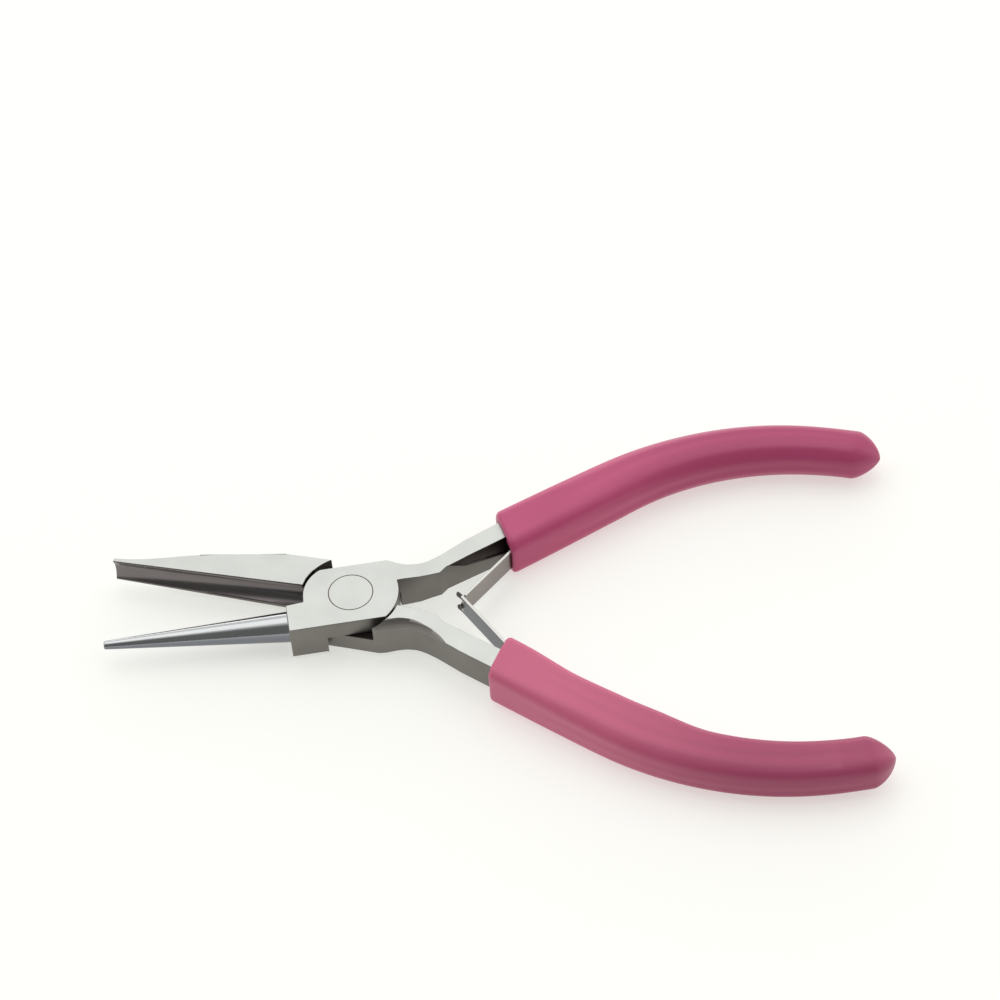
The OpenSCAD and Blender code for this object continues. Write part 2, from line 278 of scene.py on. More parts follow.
steelLooks = {
    # light and dark of the steel, colour of rubbed edges and how much they show,
    # range of the roughness, depth and density of the grinding lines
    "groundFace": {"light": (0.585, 0.595, 0.57), "dark": (0.44, 0.455, 0.43), "worn": (0.72, 0.72, 0.70),
        "wear": 0.4, "rough": (0.32, 0.44), "depth": 0.12, "perMm": 9.0},
    # painted shade: the sides and the scoop are darker than the ground faces, their forged finish deepened
    # with painted shade
    "forgedSide": {"light": (0.255, 0.243, 0.225), "dark": (0.17, 0.16, 0.147), "worn": (0.33, 0.32, 0.30),
        "wear": 0.3, "rough": (0.38, 0.52), "depth": 0.2, "perMm": 6.0},
    # painted shade: the jaw's hollow is darker to stand in for the shade inside it
    "jawHollow": {"light": (0.215, 0.195, 0.195), "dark": (0.14, 0.125, 0.125), "worn": (0.2, 0.19, 0.18),
        "wear": 0.2, "rough": (0.2, 0.3), "depth": 0.1, "perMm": 8.0},
    # shadeBelow: painted shade on the turned jaw's surfaces that face down
    "turnedJaw": {"light": (0.49, 0.50, 0.505), "dark": (0.40, 0.41, 0.42), "worn": (0.6, 0.61, 0.63),
        "wear": 0.3, "rough": (0.13, 0.2), "depth": 0.08, "perMm": 9.0, "shadeBelow": (0.20, 0.21, 0.235)},
    # painted shade: near black for the drafted faces, the lap faces and the lines along the hollow's rims
    "draftedSide": {"light": (0.085, 0.07, 0.068), "dark": (0.045, 0.036, 0.035), "worn": (0.12, 0.11, 0.1),
        "wear": 0.3, "rough": (0.3, 0.42), "depth": 0.2, "perMm": 6.0},
    "seamLine": {"light": (0.19, 0.14, 0.13), "dark": (0.11, 0.085, 0.08), "worn": (0.3, 0.26, 0.24),
        "wear": 0.0, "rough": (0.5, 0.6), "depth": 0.05, "perMm": 9.0},
    "warmLeaf": {"light": (0.33, 0.305, 0.28), "dark": (0.22, 0.205, 0.19), "worn": (0.5, 0.48, 0.46),
        "wear": 0.5, "rough": (0.28, 0.4), "depth": 0.15, "perMm": 7.0},
    "coolLeaf": {"light": (0.21, 0.22, 0.235), "dark": (0.14, 0.147, 0.16), "worn": (0.45, 0.45, 0.46),
        "wear": 0.5, "rough": (0.28, 0.4), "depth": 0.15, "perMm": 7.0},
    # painted highlight along the leaves' narrow edges
    "leafEdgeHighlight": {"light": (0.62, 0.61, 0.59), "dark": (0.46, 0.45, 0.44), "worn": (0.6, 0.6, 0.58),
        "wear": 0.5, "rough": (0.28, 0.36), "depth": 0.05, "perMm": 9.0},
    # painted shade on the ends of the leaves past their crossing
    "leafTipShade": {"light": (0.08, 0.07, 0.07), "dark": (0.045, 0.04, 0.04), "worn": (0.2, 0.19, 0.19),
        "wear": 0.2, "rough": (0.3, 0.4), "depth": 0.1, "perMm": 7.0},
    "rivetSteel": {"light": (0.4, 0.39, 0.38), "dark": (0.3, 0.29, 0.285), "worn": (0.6, 0.6, 0.58),
        "wear": 0.6, "rough": (0.28, 0.38), "depth": 0.08, "perMm": 7.0},
}


def steelMaterial(name):
    look = steelLooks[name]
    material, tree, shader = startMaterial(name)
    lines = useGroup(tree, grindLines, Per_mm=look["perMm"])
    specks = useGroup(tree, fineSpeckle, Per_mm=3.0, Share=0.36)
    wear = useGroup(tree, edgeWearAndSheen, Radius=0.0003, Strength=look["wear"])
    clouded = mixColours(tree, ranged(tree, lines.outputs["Clouds"], 0.0, 1.0), look["dark"], look["light"])
    lined = mixColours(tree, ranged(tree, lines.outputs["Lines"], 0.0, 0.35), clouded, look["light"])
    speckled = mixColours(tree, ranged(tree, specks.outputs["Specks"], 0.0, 0.12), lined, look["dark"])
    # surfaces facing down are mixed to a darker colour: painted shade under the turned jaw
    if "shadeBelow" in look:
        where = useGroup(tree, whereOnPart, From_up=0.25, To_up=0.6)
        speckled = mixColours(tree, where.outputs["Facing up"], look["shadeBelow"], speckled)
    worn = mixColours(tree, wear.outputs["Mask"], speckled, look["worn"])
    tree.links.new(worn, shader.inputs["Base Color"])
    shader.inputs["Metallic"].default_value = 1.0
    tree.links.new(ranged(tree, lines.outputs["Lines"], *look["rough"]), shader.inputs["Roughness"])
    tree.links.new(bumpFrom(tree, lines.outputs["Lines"], look["depth"], 0.00002), shader.inputs["Normal"])
    return material


gripLooks = {
    # the grips are darker towards the ends
    "pinkVinylUpper": {"light": (0.60, 0.098, 0.222), "deep": (0.50, 0.068, 0.178),
        "end": (0.45, 0.064, 0.162), "rubbedAndSheen": (0.58, 0.17, 0.27), "rough": (0.30, 0.42)},
    # the lower grip's colours are lighter than the upper's: a painted sheen on the vinyl
    "pinkVinylLowerSheen": {"light": (0.66, 0.148, 0.258), "deep": (0.57, 0.112, 0.215),
        "end": (0.37, 0.056, 0.134), "rubbedAndSheen": (0.66, 0.20, 0.29), "rough": (0.30, 0.42)},
}


def gripMaterial(name):
    look = gripLooks[name]
    material, tree, shader = startMaterial(name)
    skin = useGroup(tree, fineSpeckle, Per_mm=5.0, Share=0.42)
    # the edge mask lightens the rounded edges and creases towards the rubbed colour: partly wear, partly a
    # painted highlight
    wear = useGroup(tree, edgeWearAndSheen, Radius=0.0009, Strength=0.35)
    where = useGroup(tree, whereOnPart, From_along=0.034, To_along=0.066)
    mottled = mixColours(tree, ranged(tree, skin.outputs["Mottle"], 0.0, 1.0), look["deep"], look["light"])
    graded = mixColours(tree, ranged(tree, where.outputs["Along"], 0.0, 0.85), mottled, look["end"])
    dusted = mixColours(tree, ranged(tree, skin.outputs["Specks"], 0.0, 0.08), graded, look["rubbedAndSheen"])
    worn = mixColours(tree, wear.outputs["Mask"], dusted, look["rubbedAndSheen"])
    tree.links.new(worn, shader.inputs["Base Color"])
    tree.links.new(ranged(tree, skin.outputs["Mottle"], *look["rough"]), shader.inputs["Roughness"])
    tree.links.new(bumpFrom(tree, skin.outputs["Mottle"], 0.15, 0.0002), shader.inputs["Normal"])
    shader.inputs["Specular IOR Level"].default_value = 0.3
    shader.inputs["Coat Weight"].default_value = 0.1
    shader.inputs["Coat Roughness"].default_value = 0.18
    return material


steels = {name: steelMaterial(name) for name in steelLooks}
vinyls = {name: gripMaterial(name) for name in gripLooks}
print("materials:", len(bpy.data.materials))


# Each face's corner takes its normal mostly from the widest flat near its own direction,
# so flats stay flat beside round edges and steep edges stay crisp.
def patchNormals(bm):
    bm.faces.index_update()
    patch, areas = {}, []
    for seed in bm.faces:
        if seed.index in patch:
            continue
        number, waiting, area = len(areas), [seed], 0.0
        patch[seed.index] = number
        while waiting:
            face = waiting.pop()
            area += face.calc_area()
            for edge in face.edges:
                for near in edge.link_faces:
                    if near.index not in patch and near.normal.dot(face.normal) > 0.99998:
                        patch[near.index] = number
                        waiting.append(near)
        areas.append(area)
    limit = math.cos(math.radians(52))      # neighbours steeper than this stay out
    normals = []
    for face in bm.faces:
        for corner in face.loops:
            total = Vector()
            for near in corner.vert.link_faces:
                if near.normal.dot(face.normal) > limit:
                    total += near.normal * areas[patch[near.index]]
            normals.append(total.normalized() if total.length > 0 else face.normal.copy())
    return normals


def putPiece(name, bm, materials, keepFlats=True):
    mesh = bpy.data.meshes.new(name)
    bm.normal_update()
    for face in bm.faces:
        face.smooth = True
    normals = patchNormals(bm) if keepFlats else None
    bm.to_mesh(mesh)
    bm.free()
    if keepFlats:
        mesh.normals_split_custom_set(normals)
    piece = bpy.data.objects.new(name, mesh)
    bpy.context.scene.collection.objects.link(piece)
    for material in materials:
        mesh.materials.append(material)
    return piece


# Faces go to a material by a rule: face -> the material's place in the piece's list.
def paintFaces(bm, rule):
    for face in bm.faces:
        face.material_index = rule(face)


lever = {
    "half": jointHalf,          # half the joint's thickness
    "lap": 0.03,                # half the gap between the lap faces
    "plateRadius": 7.75,
    "cornerRadius": 6.1,        # the plate's corner on its handle's side
    "cornerAt": (-1.6, 0.16),
    "pocketRadius": 8.05,
    "pocketShift": 0.56,        # the pocket's wall is closer on the jaw's side
    "jawSide": 6.0,
    "shoulder": 10.6,
    "handleHalf": 2.85,         # half the handle's thickness behind the neck
    "steelEnd": 60.3,           # where the steel ends inside the grip
    "scoopAt": (11, 12, -6.2), "scoopRing": 5.55, "scoopRadius": 4.2,
    "edgeRound": 0.13,
    # outer edge of the neck, from over the rivet to the grip
    "upperNeck": [(0, 5.6), (6.4, 5.6), (7.1, 5.3), (8.5, 4.5), (10.1, 4.05), (12.3, 4.15),
        (15.4, 5.45), (19.7, 7.75)],
    "lowerNeck": [(0, 6.2), (5.7, 6.3), (7, 5.95), (8.7, 5.2), (10.4, 4.8), (12.3, 4.95),
        (15.4, 6.1), (19.7, 8.1)],
    "innerSide": [(20.2, 4.35), (15.9, 2.75), (14.7, 1.7), (11.2, 1.2), (0, 1)],
}
roundJaw = {"reach": 40.4, "rootRadius": 2.5, "tipRadius": 0.7, "tipRound": 0.28, "lift": 0.005}
hollowJaw = {
    "reach": 40.2, "turn": 0.25,     # the jaw stands a little open of its lever
    "crownAt": 13.5, "crownRoot": 5.14, "crownDrop": -1.5, "tipHalf": 2.28,
    "back": [(-40.2, -0.75), (-37.7, -0.95), (-34.6, -1.5), (-31, -2.4), (-28, -3.2), (-13.5, -6.5)],
    "tipHollow": (2.05, 0.45), "rootHollow": (2.54, 2.35),       # half the hollow's width, depth
}
draft = {
    "from": (15.9, 2.75),           # the kink of the handle's inner side
    # share of the way from the kink to the mouth, ridge's height, depth at the top
    "stations": [(0.02, 3.0, 0.05), (0.3, 1.2, 0.2), (0.65, 0.3, 0.36), (1.0, -0.35, 0.5), (1.4, -0.5, 0.5)],
    "ledge": 0.16,
}
rivet = {"radius": 2.6, "head": 3.57, "headDepth": 1.1, "groove": 0.08, "near": 3.8}


def holdSolid(verts, faces):
    mesh = bpy.data.meshes.new("work")
    mesh.from_pydata([tuple(v) for v in verts], [], faces)
    bm = bmesh.new()
    bm.from_mesh(mesh)
    bmesh.ops.recalc_face_normals(bm, faces=bm.faces)
    bm.to_mesh(mesh)
    bm.free()
    work = bpy.data.objects.new("work", mesh)
    bpy.context.scene.collection.objects.link(work)
    return work


# A solid through rings of the same number of points.
def loft(rings):
    count = len(rings[0])
    verts = [v for ring in rings for v in ring]
    faces = [tuple(range(count)), tuple(range(len(verts) - 1, len(verts) - count - 1, -1))]
    for k in range(len(rings) - 1):
        for i in range(count):
            j = (i + 1) % count
            a, b, c, d = k * count + i, k * count + j, (k + 1) * count + j, (k + 1) * count + i
            faces += [(a, b, c), (a, c, d)]
    return holdSolid(verts, faces)


# A prism over an outline in the plan, or over a side view when upright.
def prism(outline, low, high, upright=False):
    count = len(outline)
    verts = [(p[0], h, p[1]) if upright else (p[0], p[1], h) for h in (low, high) for p in outline]
    faces = [tuple(range(count)), tuple(range(2 * count - 1, count - 1, -1))]
    faces += [(i, (i + 1) % count, count + (i + 1) % count, count + i) for i in range(count)]
    return holdSolid(verts, faces)


# A turned solid: (radius, length) along an axis, from its low end to its high end.
def turned(profile, start, axis, steps=96):
    axis = Vector(axis).normalized()
    side = axis.cross(Vector((0, 0, 1)) if abs(axis.z) < 0.9 else Vector((1, 0, 0))).normalized()
    other = axis.cross(side)
    verts = []
    for r, h in profile:
        for i in range(steps):
            t = 2 * math.pi * i / steps
            verts.append(Vector(start) + axis * h + (side * math.cos(t) + other * math.sin(t)) * r)
    faces = [tuple(range(steps)), tuple(range(len(verts) - 1, len(verts) - steps - 1, -1))]
    for k in range(len(profile) - 1):
        for i in range(steps):
            j = (i + 1) % steps
            faces.append((k * steps + i, k * steps + j, (k + 1) * steps + j, (k + 1) * steps + i))
    return holdSolid(verts, faces)


def ringSolid(centre, ring, tube, steps=120, round=48):
    verts, faces = [], []
    for i in range(steps):
        a = 2 * math.pi * i / steps
        for k in range(round):
            b = 2 * math.pi * k / round
            r = ring + tube * math.cos(b)
            x, y = centre[0] + r * math.cos(a), centre[1] + r * math.sin(a)
            verts.append((x, y, centre[2] + tube * math.sin(b)))
    for i in range(steps):
        for k in range(round):
            j, m = (i + 1) % steps, (k + 1) % round
            faces.append((i * round + k, j * round + k, j * round + m, i * round + m))
    return holdSolid(verts, faces)


def combine(base, tool, operation):
    step = base.modifiers.new("step", "BOOLEAN")
    step.object = tool
    step.operation = operation
    step.solver = "EXACT"
    bpy.context.view_layer.update()
    result = bpy.data.meshes.new_from_object(base.evaluated_get(bpy.context.evaluated_depsgraph_get()))
    base.modifiers.clear()
    base.data = result
    bpy.data.objects.remove(tool)
    return base


def arc(centre, r, start, end, steps):
    angles = [math.radians(start + (end - start) * i / steps) for i in range(steps + 1)]
    return [(centre[0] + r * math.cos(a), centre[1] + r * math.sin(a)) for a in angles]


# A smooth line through a few points, for the neck's flowing edge.
def flowing(points, steps=5):
    line = []
    for i in range(len(points) - 1):
        p0, p1 = points[max(i - 1, 0)], points[i]
        p2, p3 = points[i + 1], points[min(i + 2, len(points) - 1)]
        for k in range(steps):
            t = k / steps
            line.append(tuple(0.5 * (2 * b + (c - a) * t + (2 * a - 5 * b + 4 * c - d) * t * t
                + (3 * b - a - 3 * c + d) * t ** 3) for a, b, c, d in zip(p0, p1, p2, p3)))
    return line + [points[-1]]


def plateOutline(top):
    # round the far side from the jaw's straight edge to the handle's, then over the rounded corner
    r, side = lever["plateRadius"], lever["jawSide"]
    cx, cy = lever["cornerAt"]
    rc = lever["cornerRadius"]
    low = math.degrees(math.asin(side / r))
    high = math.degrees(math.asin(top / r))
    outline = arc((0, 0), r, -low, high, 30)
    cornerTop = math.degrees(math.asin(min(0.999, (top - cy) / rc)))
    outline += arc((cx, cy), rc, 180 - cornerTop, 180, 20)
    outline += arc((0, 0), r, 180, 180 + low, 12)
    return outline


def handleOutline(neck):
    end = lever["steelEnd"]
    steps = 40
    outline = flowing(neck[1:])
    for i in range(1, steps + 1):
        s = end * i / steps
        outline.append(tuple(beside(s, blendTo(2.3, 1.7, s / end))))
    for i in range(steps, -1, -1):
        s = end * i / steps
        outline.append(tuple(beside(s, -blendTo(1.5, 1.7, s / end))))
    return [neck[0]] + outline + lever["innerSide"]


def sideProfile():
    h, t = lever["half"], lever["handleHalf"]
    top = [(-45, h), (8.8, h), (11, h - 0.13), (13, h - 0.37), (15, t), (46.3, t), (90, 2.3)]
    return top + [(x, -z) for x, z in reversed(top)]


def pocketOutline():
    r = lever["pocketRadius"]
    return arc((0, 0), r, -90, 90, 60) + arc((0, lever["pocketShift"]), r, 90, 270, 60)


def makeBlank(neck):
    handleSteel = combine(prism(handleOutline(neck), -lever["half"], lever["half"]),
        prism(sideProfile(), -60, 60, upright=True), "INTERSECT")
    plate = prism(plateOutline(neck[0][1]), lever["lap"], lever["half"])
    return combine(handleSteel, plate, "UNION")


def rivetProfile(grow, groove):
    # from the back head to the front head; the groove is the chamfer beside the head
    h, r, head, depth = lever["half"], rivet["radius"] + grow, rivet["head"] + grow, rivet["headDepth"]
    rim = h + 0.001 if groove > 0 else h
    half = [(r, 0), (r, h - depth), (head, h - abs(groove)), (head + groove, rim)]
    if groove > 0:
        half.append((head + groove, h + 1))
    return [(a, -b) for a, b in reversed(half[1:])] + half[1:]


# Sets the inner side of the handle back above a ridge that starts at the kink.
def draftTool():
    start, mouth = Vector(draft["from"]), beside(0, -1.5)
    way = mouth - start
    off = Vector((-way.y, way.x)).normalized()
    rings = []
    for share, ridge, depth in draft["stations"]:
        p = start + way * share
        ring = []
        for n, z in ((-1.5, ridge - draft["ledge"]), (-0.02, ridge - draft["ledge"]), (depth * 0.6, ridge),
                (depth, 3.6), (-1.5, 3.6)):
            ring.append((p.x + off.x * n, p.y + off.y * n, z))
        rings.append(ring)
    return loft(rings)


# The hollow along the jaw: a shallow arc at the tip, a deeper one at the root.
def hollowTool():
    (tipHalf, tipDepth), (rootHalf, rootDepth) = hollowJaw["tipHollow"], hollowJaw["rootHollow"]
    first, last = -hollowJaw["reach"] - 1, -6
    rings = []
    lengthSteps, roundSteps = 14, 32
    for k in range(lengthSteps + 1):
        share = k / lengthSteps
        half, depth = blendTo(tipHalf, rootHalf, share), blendTo(tipDepth, rootDepth, share)
        r = (half * half + depth * depth) / (2 * depth)
        limit = math.acos(max(-1, (r - depth - 0.25) / r))
        ring = []
        for i in range(roundSteps + 1):
            t = limit * (2 * i / roundSteps - 1)
            ring.append((first + (last - first) * share, r - depth - r * math.cos(t), r * math.sin(t)))
        ring += [(ring[0][0], 3, ring[-1][2]), (ring[0][0], 3, ring[0][2])]
        rings.append(ring)
    return loft(rings)


def turnBy(work, degrees):
    work.data.transform(Matrix.Rotation(math.radians(degrees), 4, "Z"))
    return work


def cutLever(work):
    h = lever["half"]
    combine(work, prism(pocketOutline(), -2 * h, lever["lap"]), "DIFFERENCE")
    combine(work, ringSolid(lever["scoopAt"], lever["scoopRing"], lever["scoopRadius"]), "DIFFERENCE")
    combine(work, turned(rivetProfile(0.01, rivet["groove"]), (0, 0, 0), (0, 0, 1)), "DIFFERENCE")
    combine(work, draftTool(), "DIFFERENCE")


def sharpEdges(bm, least=28):
    return [e for e in bm.edges if len(e.link_faces) == 2 and e.calc_face_angle() > math.radians(least)]


def middle(edge):
    return (edge.verts[0].co + edge.verts[1].co) / 2


def onScoop(p, near=0.02):
    cx, cy, cz = lever["scoopAt"]
    away = math.hypot(math.hypot(p.x - cx, p.y - cy) - lever["scoopRing"], p.z - cz)
    return abs(away - lever["scoopRadius"]) < near


def nearRivet(p):
    return math.hypot(p.x, p.y) < rivet["near"]


def roundEdges(bm, edges, width, segments=3):
    made = bmesh.ops.bevel(bm, geom=edges, offset=width, offset_type="OFFSET", segments=segments,
        profile=0.5, affect="EDGES", clamp_overlap=False, miter_outer="ARC")
    return made["faces"]


def finishSteel(bm):
    bmesh.ops.triangulate(bm, faces=[f for f in bm.faces if len(f.verts) > 4])


leverFinishes = ("groundFace", "forgedSide", "jawHollow", "seamLine", "turnedJaw", "draftedSide")


def finishLever(work, name, node, body, place, rule):
    bm = bmesh.new()
    bm.from_mesh(work.data)
    bpy.data.objects.remove(work)
    bmesh.ops.remove_doubles(bm, verts=bm.verts, dist=0.002)
    bmesh.ops.dissolve_limit(bm, angle_limit=math.radians(0.05), verts=bm.verts, edges=bm.edges)
    bm.normal_update()
    crisp = [e for e in sharpEdges(bm) if not (nearRivet(middle(e)) or onScoop(middle(e)))]
    roundEdges(bm, crisp, lever["edgeRound"])
    finishSteel(bm)
    bm.normal_update()
    paintFaces(bm, lambda face: leverFinishes.index(rule(face.calc_center_median(), face.normal)))
    for v in bm.verts:
        v.co = place(v.co)
    bmesh.ops.recalc_face_normals(bm, faces=bm.faces)
    piece = putPiece(name, bm, [steels[n] for n in leverFinishes])
    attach(piece, body)
    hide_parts(node)
    print(name, len(piece.data.polygons), "faces")


def leverRule(place, normal):
    if nearRivet(place) and abs(place.z) > lever["half"] - 0.09 and abs(normal.z) < 0.95:
        return "seamLine"
    if abs(place.z) < 0.3 and abs(normal.z) > 0.3:
        return "draftedSide"        # painted shade: the lap faces are seen only in the gaps
    # painted shade on the drafted face above the ridge
    if place.x > 15.9 and 0.03 < normal.z < 0.4 and normal.y < 0:
        return "draftedSide"
    # painted shade: the scoop takes the darker side steel, for the dark spot in it
    if onScoop(place, 0.06):
        return "forgedSide"
    # faces that don't face up or down take the darker side steel: forged finish deepened with painted shade
    return "groundFace" if abs(normal.z) > 0.72 else "forgedSide"


def roundJawRule(place, normal):
    if place.x < -lever["shoulder"] - 0.05:
        return "turnedJaw"
    return leverRule(place, normal)


def hollowJawRule(place, normal):
    if place.x < -7.6 and place.y > -0.14 and normal.y > 0.1 and 0.2 < abs(normal.z) < 0.985:
        return "draftedSide"        # painted shade: dark line along the rims
    # painted shade inside the jaw's hollow
    if place.x < -7 and normal.y > 0.05 and abs(normal.z) < 0.985:
        return "jawHollow"
    return leverRule(place, normal)


def makeRoundJawLever():
    side, shoulder, h = lever["jawSide"], lever["shoulder"], lever["half"]
    work = makeBlank(lever["upperNeck"])
    block = [(-shoulder, -side), (-shoulder, -0.75), (-7.6, -0.5), (0, -0.5), (0, -side)]
    combine(work, prism(block, -h, h), "UNION")
    cutLever(work)
    root, tip, fillet = roundJaw["rootRadius"], roundJaw["tipRadius"], roundJaw["tipRound"]
    length = roundJaw["reach"] - shoulder + 0.3
    taper = (root - tip) / length
    profile = [(root - taper * length * i / 30, length * i / 30) for i in range(29)]
    for turn in (0, 22, 45, 68, 90):
        t = math.radians(turn)
        profile.append((tip - fillet * (1 - math.cos(t)), length - fillet * (1 - math.sin(t))))
    jaw = turned(profile, (-shoulder + 0.3, -root, 0), (-1, taper + roundJaw["lift"], 0), 64)
    combine(work, jaw, "UNION")
    finishLever(work, "roundJawLever", "round_jaw_lever", "upper_half", placeUpper, roundJawRule)


def makeHollowJawLever():
    side, h, reach = lever["jawSide"], lever["half"], hollowJaw["reach"]
    crownAt, tipHalf = hollowJaw["crownAt"], hollowJaw["tipHalf"]
    plan = [(-reach, 0)] + flowing(hollowJaw["back"]) + [(-12.4, -side), (-3.6, -side), (0, -3), (0, 0)]
    jaw = prism(plan, -h, h)
    sideView = [(-reach, tipHalf), (-9, h), (1, h), (1, -h), (-9, -h), (-reach, -tipHalf)]
    combine(jaw, prism(sideView, -20, 20, upright=True), "INTERSECT")
    grow = (hollowJaw["crownRoot"] - tipHalf) / (reach - crownAt)
    drop = hollowJaw["crownDrop"] / (reach - crownAt)
    span = reach + 2
    low, high = tipHalf + 0.1 - grow, tipHalf + 0.1 + grow * (span - 1)
    crown = turned([(low, 0), (high, span)], (-reach - 1, 0, 0), (1, drop, 0), 160)
    combine(jaw, crown, "INTERSECT")
    work = makeBlank(lever["lowerNeck"])
    combine(work, turnBy(jaw, hollowJaw["turn"]), "UNION")
    combine(work, turnBy(hollowTool(), hollowJaw["turn"]), "DIFFERENCE")
    cutLever(work)
    finishLever(work, "hollowJawLever", "hollow_jaw_lever", "lower_half", placeLower, hollowJawRule)


def makePivotRivet():
    work = turned(rivetProfile(0, -rivet["groove"]), (0, 0, 0), (0, 0, 1))
    bm = bmesh.new()
    bm.from_mesh(work.data)
    bpy.data.objects.remove(work)
    paintFaces(bm, lambda face: 0 if abs(face.normal.z) > 0.9 else 1)
    finishSteel(bm)
    for v in bm.verts:
        v.co = placeUpper(v.co)
    piece = putPiece("pivotRivet", bm, [steels["groundFace"], steels["seamLine"]])
    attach(piece, "upper_half")
    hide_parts("pivot_rivet")


makeRoundJawLever()
makeHollowJawLever()
makePivotRivet()
print("steel done")


grip = {
    "halfWidth": 4.3,           # across the handle, at the mouth
    "halfDepth": 3.82,          # along the pivot axis, at the mouth
    "endScale": 0.87,
    "mouthSlant": 0.2,
    "roundEnd": 4.2,            # length of the bullet-shaped end
    "short": 0.3,               # how far it stops before the end of the middle line
    "endShift": 0.25,           # how far the end's point stands to the outer side
    "lipInside": 0.25,          # rounding of the mouth
    "lipOutside": 0.85,
    "sidePoints": 96,
    "ringStep": 1.2,
    "flute": 0.04,             # height of the faint lengthwise waves in the vinyl
    "flutes": 11,
    # how far from the mouth the sections of the hole inside stand, from its end outwards
    "holeStations": (58, 50, 40, 30, 22, 14.2, 13.8, 9, 6, 3.8, 2.5, 1.2),
    "mouthTurns": (30, 60, 90, 95, 112, 130, 148, 166),     # degrees round the rolled mouth
}
grip["end"] = handle["length"] - grip["short"]
gripShapes = {
    # corners of the section at the mouth and further on, how thick it is,
    # and where the inner side is fuller or leaner: place, reach, height
    "upperGrip": {"mouthCorner": 2.0, "corner": 3.3, "thick": 1.07, "fill": []},
    "lowerGrip": {"mouthCorner": 1.4, "corner": 2.5, "thick": 1.0, "fill": [(12, 9, -0.45), (28, 10, 0.6)]},
}


gripRoom = {
    "steelOut": 2.42, "steelIn": 1.62, "steelHalf": 2.98,     # the hole round the steel at the mouth
    "leafHalf": 2.2, "leafSlope": 0.356, "leafAt": 2.18, "leafBend": 3.8,
}


def roundedRect(angle, halfW, halfD, corner):
    c, s = math.cos(angle), math.sin(angle)
    # distance from the middle to the edge, along this direction, by halving
    low, high = 0.0, halfW + halfD
    for halving in range(30):
        r = (low + high) / 2
        x, y = abs(r * c) - (halfW - corner), abs(r * s) - (halfD - corner)
        inside = max(x, y) <= corner and (x <= 0 or y <= 0 or math.hypot(x, y) <= corner)
        low, high = (r, high) if inside else (low, r)
    return Vector((low * c, low * s))


def gripScale(s):
    left = max(0, s - (grip["end"] - grip["roundEnd"])) / grip["roundEnd"]
    return blendTo(1, grip["endScale"], (s - 20) / 40) * max(0.0, 1 - left ** 1.45) ** 0.67


def gripPoint(s, offset, fill):
    slant = grip["mouthSlant"] * offset.x * max(0, 1 - s / 16)
    nearEnd = max(0, s - (grip["end"] - 12)) / 12
    across = offset.x + grip["endShift"] * nearEnd ** 2
    if offset.x < 0:
        for at, reach, height in fill:
            across -= height * (1 - easeTo(0, 1, abs(s - at) / reach)) * min(1, -offset.x / 3)
    p = beside(s + slant, across)
    return (p.x, p.y, offset.y)


def gripSection(angles, s, shape):
    corner = easeTo(shape["mouthCorner"], shape["corner"], s / 38)
    height = grip["flute"] * easeTo(0, 1, (s - 3) / 14) * easeTo(0, 1, (grip["end"] - 2 - s) / 8)
    ring = []
    for a in angles:
        p = roundedRect(a, grip["halfWidth"], grip["halfDepth"] * shape["thick"], corner)
        wave = height * math.sin(grip["flutes"] * a + 0.05 * s)
        ring.append(p + p.normalized() * wave)
    return ring


def outsideRing(angles, s, shape):
    return [gripPoint(s, offset * gripScale(s), shape["fill"]) for offset in gripSection(angles, s, shape)]


def roomEdge(angle, s):
    # the steel's room and, on the inner side, the leaf's room, as one hole seen along the handle
    c, sn = math.cos(angle), math.sin(angle)
    wallN = gripRoom["steelOut"] if c > 0 else -gripRoom["steelIn"]
    reach = min(wallN / c if abs(c) > 1e-6 else 99, gripRoom["steelHalf"] / max(abs(sn), 1e-6))
    if c < 0 and s < 14:
        leafN = -(gripRoom["leafAt"] + max(0, gripRoom["leafBend"] - s) * gripRoom["leafSlope"])
        if s > gripRoom["leafBend"]:
            leafN = -2.85
        slot = min(leafN / c, gripRoom["leafHalf"] / max(abs(sn), 1e-6))
        reach = max(reach, slot)
    return Vector((reach * c, reach * sn))


